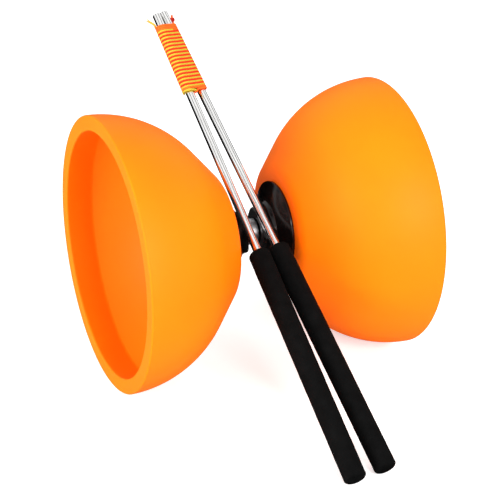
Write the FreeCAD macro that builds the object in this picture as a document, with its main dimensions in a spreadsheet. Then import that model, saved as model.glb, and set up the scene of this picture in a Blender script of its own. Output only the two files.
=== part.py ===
import FreeCAD, Part
import math
import os

import Sketcher

App = FreeCAD
Vector = App.Vector

os.makedirs("parts", exist_ok=True)
doc = App.newDocument("Diabolo")

# ---------------------------------------------------------------------------
# Driving dimensions, in millimetres and degrees.
# X runs along the spool's axis, Y away from the grips' ends, Z up from the floor.
# "_x" is a distance from the middle of the spool along its axis.
# ---------------------------------------------------------------------------
SIZES = [
    # whole spool
    ("rim_radius", 70.0),
    ("half_length", 77.0),
    ("axis_place_y", 14.8),
    # cups
    ("cup_wall", 3.8),
    ("cup_nose_x", 15.6),
    ("nose_flat_radius", 27.0),
    ("nose_bend", 11.0),
    ("bowl_ease", 0.4),
    ("rim_width", 8.0),
    ("lip_depth", 14.7),
    ("cup_hole_radius", 10.0),
    ("rim_round", 0.8),
    # hubs
    ("boss_face_radius", 11.7),
    ("boss_root_x", 10.15),
    ("boss_root_radius", 15.15),
    ("dish_edge_x", 14.35),
    ("dish_radius", 24.1),
    ("spigot_gap", 0.2),
    ("spigot_length", 3.4),
    ("boss_flats", 6),
    ("flat_depth", 1.1),
    ("flat_half_width", 5.85),
    ("flat_run", 3.875),
    # clamp inside each cup
    ("plate_radius", 21.0),
    ("plate_thickness", 1.6),
    ("washer_radius", 11.25),
    ("washer_thickness", 1.0),
    ("nut_flats", 7.0),
    ("nut_thickness", 3.2),
    ("nut_collar_radius", 3.1),
    ("nut_collar_length", 1.8),
    ("nut_collar_wall", 0.4),
    ("insert_thickness", 1.2),
    ("insert_fit", 0.02),
    ("insert_recess", 0.1),
    # spindle
    ("spindle_radius", 2.0),
    ("spindle_slack", 0.04),
    ("spindle_past_nut", 1.5),
    ("spindle_chamfer", 0.5),
    # roller and its two ball bearings
    ("roller_radius", 6.7),
    ("roller_half_width", 3.5),
    ("roller_edge", 0.4),
    ("bearing_radius", 4.5),
    ("bearing_width", 2.5),
    ("bearing_fit", 0.01),
    ("inner_race_share", 0.38),
    ("outer_race_share", 0.28),
    ("ball_share", 0.24),
    ("cage_share", 0.2),
    ("ball_count", 8),
    ("raceway_slack", 0.05),
    ("cage_width", 1.9),
    ("cage_pocket_slack", 0.08),
    ("shield_thickness", 0.2),
    ("shield_gap", 0.06),
    ("shim_thickness", 0.4),
    ("shim_step", 0.05),
    # hand sticks
    ("stick_length", 294.0),
    ("rod_radius", 2.25),
    ("rod_chamfer", 0.5),
    ("grip_radius", 5.5),
    ("grip_length", 131.0),
    ("grip_foot_round", 1.5),
    ("grip_top_round", 2.0),
    ("grip_slack", 0.05),
    ("grip_sole", 4.0),
    ("rest_gap", 0.3),
    ("left_heel_reach", 138.4),
    ("right_heel_reach", 135.2),
    ("heels_middle_x", 2.8),
    ("grips_apart", 6.0),
    ("tips_middle_x", -5.01),
    ("rods_apart", 0.39),
    ("stick_run", 252.0),
    # string wound round both rods
    ("string_diameter", 1.25),
    ("winding_below_tip", 7.8),
    ("winding_length", 47.5),
    ("winding_slack", 0.15),
    ("tail_length", 6.0),
    ("tail_sink", 0.1),
    ("tail_out", 0.55),
    ("tail_up", 0.8),
    ("tail_over", 0.2),
]

sheet = doc.addObject("Spreadsheet::Sheet", "Sizes")
for row, (alias, value) in enumerate(SIZES, start=1):
    sheet.set(f"A{row}", alias)
    sheet.set(f"B{row}", str(value))
    sheet.setAlias(f"B{row}", alias)
doc.recompute()


def tied(expression):
    """An expression on the sheet's aliases, each written in braces."""
    return expression.replace("{", "<<Sizes>>.").replace("}", "")


def value(expression):
    """The number that such an expression gives."""
    return float(sheet.evalExpression(tied(expression)))


# ---------------------------------------------------------------------------
# Places
# ---------------------------------------------------------------------------
AXIS_POINT = Vector(0, value("{axis_place_y}"), value("{rim_radius}"))
RIGHT = App.Placement(AXIS_POINT, App.Rotation())
LEFT = App.Placement(AXIS_POINT, App.Rotation(Vector(0, 0, 1), 180))
SIDES = [("left", LEFT), ("right", RIGHT)]

nodes = []


def keep(obj, label, placement):
    """Names a finished sub-part, puts it in its place and lists it for export."""
    obj.Label = label
    obj.Placement = placement
    nodes.append(obj)
    return obj


# ---------------------------------------------------------------------------
# Sketch helpers
# ---------------------------------------------------------------------------
def plane(body, role):
    return next(o for o in body.Origin.OriginFeatures if o.Role == role)


def new_sketch(body, name, role="XY_Plane"):
    sketch = body.newObject("Sketcher::SketchObject", name)
    sketch.AttachmentSupport = [(plane(body, role), "")]
    sketch.MapMode = "FlatFace"
    return sketch


def pin_point(sketch, geometry, point, across, up):
    """Holds a point of a sketch at two expressions from the origin."""
    for kind, expression in (("DistanceX", across), ("DistanceY", up)):
        number = sketch.addConstraint(
            Sketcher.Constraint(kind, geometry, point, value(expression)))
        sketch.setExpression(f"Constraints[{number}]", tied(expression))


def outline(sketch, corners):
    """A closed outline of straight lines through corners given as expressions."""
    points = [Vector(value(x), value(r), 0) for x, r in corners]
    count = len(points)
    for i in range(count):
        sketch.addGeometry(Part.LineSegment(points[i], points[(i + 1) % count]))
    for i in range(count):
        sketch.addConstraint(Sketcher.Constraint("Coincident", i, 2, (i + 1) % count, 1))
    for i, (x, r) in enumerate(corners):
        pin_point(sketch, i, 1, x, r)


def revolved(name, corners):
    """A body of revolution about the spool's axis."""
    body = doc.addObject("PartDesign::Body", name)
    sketch = new_sketch(body, name + "_profile")
    outline(sketch, corners)
    turn = body.newObject("PartDesign::Revolution", name + "_turned")
    turn.Profile = sketch
    turn.ReferenceAxis = (sketch, ["H_Axis"])
    turn.Angle = 360
    doc.recompute()
    return body


def ring(name, inner, outer, start, end):
    """A plain ring between two radii, from one place along the axis to another."""
    return revolved(name, [(start, inner), (start, outer), (end, outer), (end, inner)])


def cut_groove(body, name, x, radius, section_radius):
    """Turns a round groove into a ring; the material it removes is checked."""
    before = body.Shape.Volume
    sketch = new_sketch(body, name)
    centre = Vector(value(x), value(radius), 0)
    sketch.addGeometry(Part.Circle(centre, Vector(0, 0, 1), value(section_radius)))
    number = sketch.addConstraint(
        Sketcher.Constraint("Radius", 0, value(section_radius)))
    sketch.setExpression(f"Constraints[{number}]", tied(section_radius))
    pin_point(sketch, 0, 3, x, radius)
    groove = body.newObject("PartDesign::Groove", name + "_cut")
    groove.Profile = sketch
    groove.ReferenceAxis = (sketch, ["H_Axis"])
    groove.Angle = 360
    doc.recompute()
    assert body.Shape.Volume < before - 0.01, name


def round_edges(body, name, radius, wanted):
    """Rounds the edges of a body's tip that a test picks out."""
    base = body.Tip
    edges = [f"Edge{i}" for i, edge in enumerate(base.Shape.Edges, start=1) if wanted(edge)]
    fillet = body.newObject("PartDesign::Fillet", name)
    fillet.Base = (base, edges)
    fillet.Radius = value(radius)
    fillet.setExpression("Radius", tied(radius))
    doc.recompute()


def circle_at(edge, x, radius, axis=Vector(1, 0, 0)):
    """True for a full circle about the given axis at that place and radius."""
    if not isinstance(edge.Curve, Part.Circle) or not edge.isClosed():
        return False
    along = edge.Curve.Center.dot(axis)
    return abs(along - x) < 0.01 and abs(edge.Curve.Radius - radius) < 0.01


# ---------------------------------------------------------------------------
# Cups: thick flexible bowls with a flat nose, an undercut lip and a flat rim
# ---------------------------------------------------------------------------
NOSE_X = "{cup_nose_x} + {nose_bend}"
BOWL_BEND = "({half_length} - {cup_nose_x} - {bowl_ease})"
BOWL_RADIUS = "{rim_radius} - " + BOWL_BEND
MOUTH_RADIUS = "{rim_radius} - {rim_width}"


def tangent_points(radius_change):
    """Where the straight flank of a cup's wall meets the nose bend and the bowl bend."""
    nose = Vector(value(NOSE_X), value("{nose_flat_radius}"), 0)
    bowl = Vector(value("{half_length}"), value(BOWL_RADIUS), 0)
    apart = bowl - nose
    difference = value(BOWL_BEND + " - {nose_bend}")
    angle = math.acos(-difference / apart.Length) + math.atan2(apart.y, apart.x)
    normal = Vector(math.cos(angle), math.sin(angle), 0)
    on_nose = nose + normal * (value("{nose_bend}") - radius_change)
    on_bowl = bowl + normal * (value(BOWL_BEND) - radius_change)
    return on_nose, on_bowl


def arc_between(centre, radius, start, end):
    """An arc about a centre, anticlockwise from one point to another."""
    first = math.atan2(start.y - centre.y, start.x - centre.x)
    last = math.atan2(end.y - centre.y, end.x - centre.x)
    return Part.ArcOfCircle(Part.Circle(centre, Vector(0, 0, 1), radius), first, last)


def wall_curve(sketch, first, inset, nose_x, end_x, end_r):
    """Nose bend, flank and bowl bend of one side of the wall, tangent to each other.

    The arcs share their centres with the other side, so the wall is equally thick.
    """
    nose = Vector(value(NOSE_X), value("{nose_flat_radius}"), 0)
    bowl = Vector(value("{half_length}"), value(BOWL_RADIUS), 0)
    on_nose, on_bowl = tangent_points(value(inset))
    start = Vector(value(nose_x), nose.y, 0)
    end = Vector(end_x, end_r, 0)
    nose_radius = "{nose_bend} - " + inset
    bowl_radius = BOWL_BEND + " - " + inset
    sketch.addGeometry(arc_between(nose, value(nose_radius), on_nose, start))
    sketch.addGeometry(Part.LineSegment(on_nose, on_bowl))
    sketch.addGeometry(arc_between(bowl, value(bowl_radius), end, on_bowl))
    pin_point(sketch, first, 3, NOSE_X, "{nose_flat_radius}")
    pin_point(sketch, first + 2, 3, "{half_length}", BOWL_RADIUS)
    for arc, radius in ((first, nose_radius), (first + 2, bowl_radius)):
        number = sketch.addConstraint(Sketcher.Constraint("Radius", arc, value(radius)))
        sketch.setExpression(f"Constraints[{number}]", tied(radius))
    sketch.addConstraint(Sketcher.Constraint("Tangent", first, 1, first + 1, 1))
    sketch.addConstraint(Sketcher.Constraint("Tangent", first + 1, 2, first + 2, 2))
    return start, end


def make_cup(side, placement):
    body = doc.addObject("PartDesign::Body", side + "_cup")
    sketch = new_sketch(body, side + "_cup_profile")
    rim_x = value("{half_length}")
    rim_r = value("{rim_radius}")
    lip_x = value("{half_length} - {lip_depth}")
    inner_radius = value(BOWL_BEND + " - {cup_wall}")
    crease_r = value(BOWL_RADIUS) + math.sqrt(inner_radius ** 2 - value("{lip_depth}") ** 2)
    outer_start, outer_end = wall_curve(
        sketch, 0, "0", "{cup_nose_x}", rim_x, rim_r)
    inner_start, inner_end = wall_curve(
        sketch, 3, "{cup_wall}", "{cup_nose_x} + {cup_wall}", lip_x, crease_r)
    mouth = Vector(rim_x, value(MOUTH_RADIUS), 0)
    hole_out = Vector(value("{cup_nose_x}"), value("{cup_hole_radius}"), 0)
    hole_in = Vector(value("{cup_nose_x} + {cup_wall}"), value("{cup_hole_radius}"), 0)
    straight = [
        (outer_end, mouth),
        (mouth, inner_end),
        (inner_start, hole_in),
        (hole_in, hole_out),
        (hole_out, outer_start),
    ]
    for start, end in straight:
        sketch.addGeometry(Part.LineSegment(start, end))
    for joint in [(2, 1, 6, 1), (6, 2, 7, 1), (7, 2, 5, 1), (8, 2, 9, 1), (9, 2, 10, 1)]:
        sketch.addConstraint(Sketcher.Constraint("Coincident", *joint))
    for joint in [(3, 2, 8, 1), (10, 2, 0, 2)]:
        sketch.addConstraint(Sketcher.Constraint("Tangent", *joint))
    pin_point(sketch, 6, 2, "{half_length}", MOUTH_RADIUS)
    pin_point(sketch, 8, 2, "{cup_nose_x} + {cup_wall}", "{cup_hole_radius}")
    pin_point(sketch, 9, 2, "{cup_nose_x}", "{cup_hole_radius}")
    sketch.addConstraint(Sketcher.Constraint("Vertical", 6))
    number = sketch.addConstraint(
        Sketcher.Constraint("DistanceX", 7, 2, value("{half_length} - {lip_depth}")))
    sketch.setExpression(f"Constraints[{number}]", tied("{half_length} - {lip_depth}"))
    turn = body.newObject("PartDesign::Revolution", side + "_cup_turned")
    turn.Profile = sketch
    turn.ReferenceAxis = (sketch, ["H_Axis"])
    turn.Angle = 360
    doc.recompute()
    round_edges(body, side + "_rim_round", "{rim_round}",
                lambda edge: circle_at(edge, rim_x, rim_r)
                or circle_at(edge, rim_x, mouth.y))
    return keep(body, side + "_cup", placement)


for side, placement in SIDES:
    make_cup(side, placement)

# ---------------------------------------------------------------------------
# Hubs: a moulded disc on the cup's nose with a tapered boss beside the roller
# ---------------------------------------------------------------------------
BORE = "{spindle_radius} + {spindle_slack}"
SPIGOT_END = "{cup_nose_x} + {cup_wall} + {spigot_length}"
BOSS_FACE_X = "({roller_half_width} + {shim_thickness})"


def make_hub(side, placement):
    body = revolved(side + "_hub", [
        (BOSS_FACE_X, BORE),
        (BOSS_FACE_X, "{boss_face_radius}"),
        ("{boss_root_x}", "{boss_root_radius}"),
        ("{dish_edge_x}", "{dish_radius}"),
        ("{cup_nose_x}", "{dish_radius}"),
        ("{cup_nose_x}", "{cup_hole_radius} - {spigot_gap}"),
        (SPIGOT_END, "{cup_hole_radius} - {spigot_gap}"),
        (SPIGOT_END, BORE),
    ])
    before = body.Shape.Volume
    sketch = new_sketch(body, side + "_flat_outline", "YZ_Plane")
    reach = "{boss_root_radius} + 1"
    floor = "{boss_face_radius} - {flat_depth}"
    outline(sketch, [("-{flat_half_width}", floor), ("{flat_half_width}", floor),
                     ("{flat_half_width}", reach), ("-{flat_half_width}", reach)])
    flat = body.newObject("PartDesign::Pocket", side + "_flat")
    flat.Profile = sketch
    flat.Type = "Length"
    flat.Length = value(BOSS_FACE_X + " + {flat_run}")
    flat.setExpression("Length", tied(BOSS_FACE_X + " + {flat_run}"))
    flat.Reversed = True
    doc.recompute()
    assert body.Shape.Volume < before - 1, "the boss's flat cuts nothing"
    one_flat = before - body.Shape.Volume
    pattern = body.newObject("PartDesign::PolarPattern", side + "_flats")
    pattern.Originals = [flat]
    pattern.Axis = (sketch, ["N_Axis"])
    pattern.Angle = 360
    pattern.setExpression("Occurrences", tied("{boss_flats}"))
    body.Tip = pattern
    doc.recompute()
    assert body.Shape.Volume < before - 3 * one_flat, "the boss's flats aren't all cut"
    return keep(body, side + "_hub", placement)


for side, placement in SIDES:
    make_hub(side, placement)

# ---------------------------------------------------------------------------
# Clamp inside each cup: plate, washer and lock nut with its nylon insert
# ---------------------------------------------------------------------------
PLATE_FACE = "{cup_nose_x} + {cup_wall}"
PLATE_END = PLATE_FACE + " + {plate_thickness}"
WASHER_START = SPIGOT_END
WASHER_END = WASHER_START + " + {washer_thickness}"
NUT_END = WASHER_END + " + {nut_thickness}"
COLLAR_END = NUT_END + " + {nut_collar_length}"
INSERT_START = COLLAR_END + " - {insert_thickness}"


def make_nut(side, placement):
    """A hexagon with a round collar, bored for the spindle and counterbored for its insert."""
    body = doc.addObject("PartDesign::Body", side + "_nut")
    sketch = new_sketch(body, side + "_nut_hexagon", "YZ_Plane")
    corners = []
    for i in range(6):
        turn = 60 * i + 30
        corners.append((f"{{nut_flats}} / sqrt(3) * cos({turn})",
                        f"{{nut_flats}} / sqrt(3) * sin({turn})"))
    outline(sketch, corners)
    pad = body.newObject("PartDesign::Pad", side + "_nut_body")
    pad.Profile = sketch
    pad.setExpression("Length", tied("{nut_thickness}"))
    doc.recompute()
    collar_sketch = new_sketch(body, side + "_nut_collar_profile")
    outline(collar_sketch, [("{nut_thickness} / 2", "0"),
                            ("{nut_thickness} / 2", "{nut_collar_radius}"),
                            ("{nut_thickness} + {nut_collar_length}", "{nut_collar_radius}"),
                            ("{nut_thickness} + {nut_collar_length}", "0")])
    collar = body.newObject("PartDesign::Revolution", side + "_nut_collar")
    collar.Profile = collar_sketch
    collar.ReferenceAxis = (collar_sketch, ["H_Axis"])
    collar.Angle = 360
    doc.recompute()
    before = body.Shape.Volume
    bore_sketch = new_sketch(body, side + "_nut_bore_profile")
    seat = "{nut_thickness} + {nut_collar_length} - {insert_thickness}"
    beyond = "{nut_thickness} + {nut_collar_length} + 1"
    outline(bore_sketch, [("-1", "0"), ("-1", BORE), (seat, BORE),
                          (seat, "{nut_collar_radius} - {nut_collar_wall}"),
                          (beyond, "{nut_collar_radius} - {nut_collar_wall}"),
                          (beyond, "0")])
    bore = body.newObject("PartDesign::Groove", side + "_nut_bore")
    bore.Profile = bore_sketch
    bore.ReferenceAxis = (bore_sketch, ["H_Axis"])
    bore.Angle = 360
    doc.recompute()
    assert body.Shape.Volume < before - 10, "the nut isn't bored"
    seated = placement.multiply(App.Placement(Vector(value(WASHER_END), 0, 0), App.Rotation()))
    return keep(body, side + "_nut", seated)


for side, placement in SIDES:
    keep(ring(side + "_plate", "{cup_hole_radius}", "{plate_radius}", PLATE_FACE, PLATE_END),
         side + "_clamp_plate", placement)
    keep(ring(side + "_wash", BORE, "{washer_radius}", WASHER_START, WASHER_END),
         side + "_washer", placement)
    make_nut(side, placement)
    keep(ring(side + "_insert", BORE, "{nut_collar_radius} - {nut_collar_wall} - {insert_fit}",
              INSERT_START, COLLAR_END + " - {insert_recess}"),
         side + "_nut_insert", placement)

# ---------------------------------------------------------------------------
# Spindle, and what it clamps between the hubs
# ---------------------------------------------------------------------------
SPINDLE_END = COLLAR_END + " + {spindle_past_nut}"
CHAMFER_START = SPINDLE_END + " - {spindle_chamfer}"
keep(revolved("spindle_rod", [
    ("-(" + SPINDLE_END + ")", "0"),
    ("-(" + SPINDLE_END + ")", "{spindle_radius} - {spindle_chamfer}"),
    ("-(" + CHAMFER_START + ")", "{spindle_radius}"),
    (CHAMFER_START, "{spindle_radius}"),
    (SPINDLE_END, "{spindle_radius} - {spindle_chamfer}"),
    (SPINDLE_END, "0"),
]), "spindle", RIGHT)

SECTION = "({bearing_radius} - {spindle_radius})"
INNER_STEP = "({spindle_radius} + {inner_race_share} * " + SECTION + ")"
OUTER_STEP = "({bearing_radius} - {outer_race_share} * " + SECTION + ")"
BALL_PITCH = "(" + INNER_STEP + " + " + OUTER_STEP + ") / 2"
BALL_RADIUS = "{ball_share} * " + SECTION
RACEWAY_RADIUS = BALL_RADIUS + " + {raceway_slack}"
POCKET_RADIUS = BALL_RADIUS + " + {cage_pocket_slack}"
RACE_START = "{roller_half_width} - {bearing_width}"
RACE_END = "{roller_half_width}"
RACE_MIDDLE = "{roller_half_width} - {bearing_width} / 2"
keep(ring("spacer", BORE, INNER_STEP, "-(" + RACE_START + ")", RACE_START),
     "bearing_spacer", RIGHT)


def make_balls(side, placement):
    """The ring of balls of one bearing, as separate solids in one group."""
    balls = []
    for i in range(int(value("{ball_count}"))):
        turn = 360 / value("{ball_count}") * i
        ball = doc.addObject("Part::Sphere", f"{side}_ball_{i + 1}")
        ball.setExpression("Radius", tied(BALL_RADIUS))
        ball.Placement.Base = Vector(value(RACE_MIDDLE),
                                     value(f"{BALL_PITCH} * cos({turn})"),
                                     value(f"{BALL_PITCH} * sin({turn})"))
        balls.append(ball)
    group = doc.addObject("Part::Compound", side + "_balls")
    group.Links = balls
    doc.recompute()
    return keep(group, side + "_balls", placement)


def make_cage(side, placement):
    """A thin ring with one round pocket for each ball."""
    half_wall = "{cage_share} * " + SECTION + " / 2"
    inner = BALL_PITCH + " - " + half_wall
    outer = BALL_PITCH + " + " + half_wall
    half = "{cage_width} / 2"
    body = ring(side + "_cage", inner, outer,
                RACE_MIDDLE + " - " + half, RACE_MIDDLE + " + " + half)
    before = body.Shape.Volume
    sketch = new_sketch(body, side + "_pocket_outline")
    sketch.addGeometry(Part.Circle(Vector(value(RACE_MIDDLE), 0, 0), Vector(0, 0, 1),
                                   value(POCKET_RADIUS)))
    number = sketch.addConstraint(Sketcher.Constraint("Radius", 0, value(POCKET_RADIUS)))
    sketch.setExpression(f"Constraints[{number}]", tied(POCKET_RADIUS))
    pin_point(sketch, 0, 3, RACE_MIDDLE, "0")
    pocket = body.newObject("PartDesign::Pocket", side + "_pocket")
    pocket.Profile = sketch
    pocket.Type = "Length"
    pocket.Reversed = True
    pocket.setExpression("Length", tied("{bearing_radius} * 2"))
    doc.recompute()
    assert body.Shape.Volume < before - 0.1, "the cage's pocket cuts nothing"
    pattern = body.newObject("PartDesign::PolarPattern", side + "_pockets")
    pattern.Originals = [pocket]
    pattern.Axis = (sketch, ["H_Axis"])
    pattern.Angle = 360
    pattern.setExpression("Occurrences", tied("{ball_count}"))
    body.Tip = pattern
    doc.recompute()
    return keep(body, side + "_cage", placement)


for side, placement in SIDES:
    inner_race = ring(side + "_inner", BORE, INNER_STEP, RACE_START, RACE_END)
    cut_groove(inner_race, side + "_inner_raceway", RACE_MIDDLE, BALL_PITCH, RACEWAY_RADIUS)
    keep(inner_race, side + "_inner_race", placement)
    keep(ring(side + "_shim_ring", BORE, INNER_STEP + " - {shim_step}", RACE_END, BOSS_FACE_X),
         side + "_shim", placement)
    outer_race = ring(side + "_outer", OUTER_STEP, "{bearing_radius} - {bearing_fit}",
                      RACE_START, RACE_END)
    cut_groove(outer_race, side + "_outer_raceway", RACE_MIDDLE, BALL_PITCH, RACEWAY_RADIUS)
    keep(outer_race, side + "_outer_race", placement)
    keep(ring(side + "_shield_disc", INNER_STEP + " + {shield_gap}", OUTER_STEP,
              RACE_END + " - {shield_thickness}", RACE_END),
         side + "_shield", placement)
    make_cage(side, placement)
    make_balls(side, placement)

# ---------------------------------------------------------------------------
# Roller: the polished sleeve that the string runs on, with a rib between the races
# ---------------------------------------------------------------------------
EDGE_X = "{roller_half_width} - {roller_edge}"
keep(revolved("roller", [
    ("-({roller_half_width})", "{bearing_radius}"),
    ("-({roller_half_width})", "{roller_radius} - {roller_edge}"),
    ("-(" + EDGE_X + ")", "{roller_radius}"),
    (EDGE_X, "{roller_radius}"),
    ("{roller_half_width}", "{roller_radius} - {roller_edge}"),
    ("{roller_half_width}", "{bearing_radius}"),
    (RACE_START, "{bearing_radius}"),
    (RACE_START, OUTER_STEP),
    ("-(" + RACE_START + ")", OUTER_STEP),
    ("-(" + RACE_START + ")", "{bearing_radius}"),
]), "axle_roller", RIGHT)

# ---------------------------------------------------------------------------
# Hand sticks: they stand on their grips' ends and lean on the hubs' bosses
# ---------------------------------------------------------------------------
BOSS_SLOPE = math.atan2(value("{boss_root_radius} - {boss_face_radius}"),
                        value("{boss_root_x} - " + BOSS_FACE_X))
HEEL_OFFSET = value("{grip_radius} + {grips_apart} / 2")
TIP_OFFSET = value("{rod_radius} + {rods_apart} / 2")


def stick_axis(side, outward):
    """The middle of a grip's end, and the direction from there to the rod's tip.

    The rounded lower edge of the grip stands on the floor, and the rod passes over
    the taper of the hub's boss with a small gap.
    """
    reach = value(f"{{{side}_heel_reach}}")
    heel_x = value("{heels_middle_x}") + outward * HEEL_OFFSET
    tip_x = value("{tips_middle_x}") + outward * TIP_OFFSET
    slope = (tip_x - heel_x) / value("{stick_run}")
    foot_round = value("{grip_foot_round}")
    heel_offset = value("{grip_radius} - {grip_foot_round}")
    crossing_x = abs(heel_x + slope * reach)
    boss = (value("{boss_face_radius}")
            + (crossing_x - value(BOSS_FACE_X)) * math.tan(BOSS_SLOPE))
    clear = boss + value("{rod_radius} + {rest_gap}") / math.cos(BOSS_SLOPE)
    rise = value("{rim_radius}") - foot_round
    lean = math.atan2(rise, reach) + math.asin((clear - heel_offset) / math.hypot(rise, reach))
    along = Vector(0, math.cos(lean), math.sin(lean))
    across = Vector(0, -math.sin(lean), math.cos(lean))
    heel = Vector(heel_x, AXIS_POINT.y - reach, foot_round)
    foot = heel - along * foot_round + across * heel_offset
    direction = Vector(slope * math.cos(lean), along.y, along.z)
    return foot, direction.normalize()


def stick_placement(foot, direction):
    return App.Placement(foot, App.Rotation(Vector(1, 0, 0), direction))


OUTWARD = {"left": -1, "right": 1}
STICKS = {side: stick_axis(side, outward) for side, outward in OUTWARD.items()}

for side, (foot, direction) in STICKS.items():
    place = stick_placement(foot, direction)
    chamfer_x = "{stick_length} - {rod_chamfer}"
    keep(revolved(side + "_rod_bar", [
        ("{grip_sole}", "0"),
        ("{grip_sole}", "{rod_radius}"),
        (chamfer_x, "{rod_radius}"),
        ("{stick_length}", "{rod_radius} - {rod_chamfer}"),
        ("{stick_length}", "0"),
    ]), side + "_rod", place)
    grip = revolved(side + "_grip_sleeve", [
        ("0", "0"),
        ("0", "{grip_radius}"),
        ("{grip_length}", "{grip_radius}"),
        ("{grip_length}", "{rod_radius} + {grip_slack}"),
        ("{grip_sole}", "{rod_radius} + {grip_slack}"),
        ("{grip_sole}", "0"),
    ])
    round_edges(grip, side + "_foot_round", "{grip_foot_round}",
                lambda edge: circle_at(edge, 0, value("{grip_radius}")))
    round_edges(grip, side + "_top_round", "{grip_top_round}",
                lambda edge: circle_at(edge, value("{grip_length}"), value("{grip_radius}")))
    keep(grip, side + "_grip", place)

# ---------------------------------------------------------------------------
# String: wound round both rods below their tips, with two short tails
# ---------------------------------------------------------------------------
TIPS = {side: foot + direction * value("{stick_length}")
        for side, (foot, direction) in STICKS.items()}
WINDING_AXIS = (STICKS["left"][1] + STICKS["right"][1]).normalize()
PAIR_MIDDLE = (TIPS["left"] + TIPS["right"]) * 0.5


def rods_at(below):
    """Where the two rods' axes cross a plane square to the winding, below the tips."""
    point = PAIR_MIDDLE - WINDING_AXIS * below
    crossings = []
    for side in ("left", "right"):
        foot, direction = STICKS[side]
        run = (point - foot).dot(WINDING_AXIS) / direction.dot(WINDING_AXIS)
        crossings.append(foot + direction * run)
    return crossings


def oval(below, radius):
    """A round-ended outline about both rods, square to the winding."""
    left, right = rods_at(below)
    across = (right - left).normalize()
    over = WINDING_AXIS.cross(across).normalize()
    a, b = right + over * radius, right - over * radius
    c, d = left - over * radius, left + over * radius
    return Part.Wire([
        Part.LineSegment(d, a).toShape(),
        Part.Arc(a, right + across * radius, b).toShape(),
        Part.LineSegment(b, c).toShape(),
        Part.Arc(c, left - across * radius, d).toShape(),
    ])


inside = value("{rod_radius} + {winding_slack}")
outside = inside + value("{string_diameter}")
top = value("{winding_below_tip}")
bottom = top + value("{winding_length}")
hull = Part.makeLoft([oval(top, outside), oval(bottom, outside)], True, True)
hollow = Part.makeLoft([oval(top, inside), oval(bottom, inside)], True, True)
coil = doc.addObject("Part::Feature", "string_coil")
coil.Shape = hull.cut(hollow)
keep(coil, "string_coil", App.Placement())

left_top, right_top = rods_at(top)
rightward = (right_top - left_top).normalize()
over = WINDING_AXIS.cross(rightward).normalize()
for side, rod_top in (("left", left_top), ("right", right_top)):
    across = rightward * OUTWARD[side]
    start = (rod_top + across * (outside - value("{tail_sink}"))
             + WINDING_AXIS * value("{string_diameter} / 2 + {tail_sink}"))
    lean_out = (across * value("{tail_out}") + WINDING_AXIS * value("{tail_up}")
                + over * value("{tail_over}")).normalize()
    tail = Part.makeCylinder(value("{string_diameter} / 2"), value("{tail_length}"),
                             start, lean_out)
    loose_end = doc.addObject("Part::Feature", side + "_string_tail")
    loose_end.Shape = tail
    keep(loose_end, side + "_string_tail", App.Placement())

# ---------------------------------------------------------------------------
# Check and export
# ---------------------------------------------------------------------------
doc.recompute()
for obj in doc.Objects:
    if "Invalid" in obj.State or "Error" in obj.State:
        raise RuntimeError(f"{obj.Label} failed: {obj.State}")
for node in nodes:
    if node.Shape.isNull() or not node.Shape.isValid():
        raise RuntimeError(f"{node.Label} has no valid shape")
    node.Shape.exportStep(f"parts/{node.Label}.step")

whole = Part.makeCompound([node.Shape for node in nodes]).BoundBox
print(f"{len(nodes)} nodes, box x {whole.XMin:.2f}..{whole.XMax:.2f}, "
      f"y {whole.YMin:.2f}..{whole.YMax:.2f}, z {whole.ZMin:.2f}..{whole.ZMax:.2f}")
for side in ("left", "right"):
    foot, direction = STICKS[side]
    print(side, "foot", foot, "tip", TIPS[side], "direction", direction)
print("rods apart at the winding:", [round((b - a).Length, 2) for a, b in
                                     (rods_at(top), rods_at(bottom))])
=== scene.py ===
import math

import bmesh
import bpy
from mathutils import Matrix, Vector


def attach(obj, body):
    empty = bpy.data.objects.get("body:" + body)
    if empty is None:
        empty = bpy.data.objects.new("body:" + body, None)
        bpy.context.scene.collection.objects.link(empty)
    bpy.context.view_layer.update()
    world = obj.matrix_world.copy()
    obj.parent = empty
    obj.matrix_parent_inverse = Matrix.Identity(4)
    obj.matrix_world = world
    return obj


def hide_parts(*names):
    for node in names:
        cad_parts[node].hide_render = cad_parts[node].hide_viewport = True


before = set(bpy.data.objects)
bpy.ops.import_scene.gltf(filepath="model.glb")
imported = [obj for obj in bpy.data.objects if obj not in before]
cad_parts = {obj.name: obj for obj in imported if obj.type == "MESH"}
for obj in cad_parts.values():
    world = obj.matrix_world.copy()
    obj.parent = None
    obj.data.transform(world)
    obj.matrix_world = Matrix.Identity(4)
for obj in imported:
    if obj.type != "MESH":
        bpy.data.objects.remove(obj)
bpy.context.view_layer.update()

# A diabolo: two cups on a spool with a bearing roller, and across its middle lie the two hand
# sticks, with the string wound round both rods. Sizes of pieces are in millimetres.
MM = 0.001
SPOOL_CENTRE = Vector((0, 14.8, 70)) * MM


# ----------------------------------------
# Camera: from the left and above, with a long lens
# ----------------------------------------
CAMERA_AZIMUTH = math.radians(22.708)
CAMERA_ELEVATION = math.radians(23.970)
CAMERA_LENS = 127.48
# from the spool's centre to the camera, in metres
CAMERA_ARM = Vector((-0.319368, -0.765984, 0.358773))


def make_camera():
    """Places the camera and turns it to its azimuth and elevation, with no roll."""
    level = Vector((math.sin(CAMERA_AZIMUTH), math.cos(CAMERA_AZIMUTH), 0))
    up = Vector((0, 0, 1))
    forward = level * math.cos(CAMERA_ELEVATION) - up * math.sin(CAMERA_ELEVATION)
    camera = bpy.data.objects.new("camera", bpy.data.cameras.new("camera"))
    bpy.context.scene.collection.objects.link(camera)
    camera.data.lens = CAMERA_LENS
    camera.data.sensor_width = 36.0
    camera.data.clip_start = 0.01
    camera.data.clip_end = 20.0
    camera.location = SPOOL_CENTRE + CAMERA_ARM
    camera.rotation_mode = "QUATERNION"
    camera.rotation_quaternion = forward.to_track_quat("-Z", "Y")
    bpy.context.scene.camera = camera


make_camera()
bpy.context.scene.view_settings.view_transform = "Standard"


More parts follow.
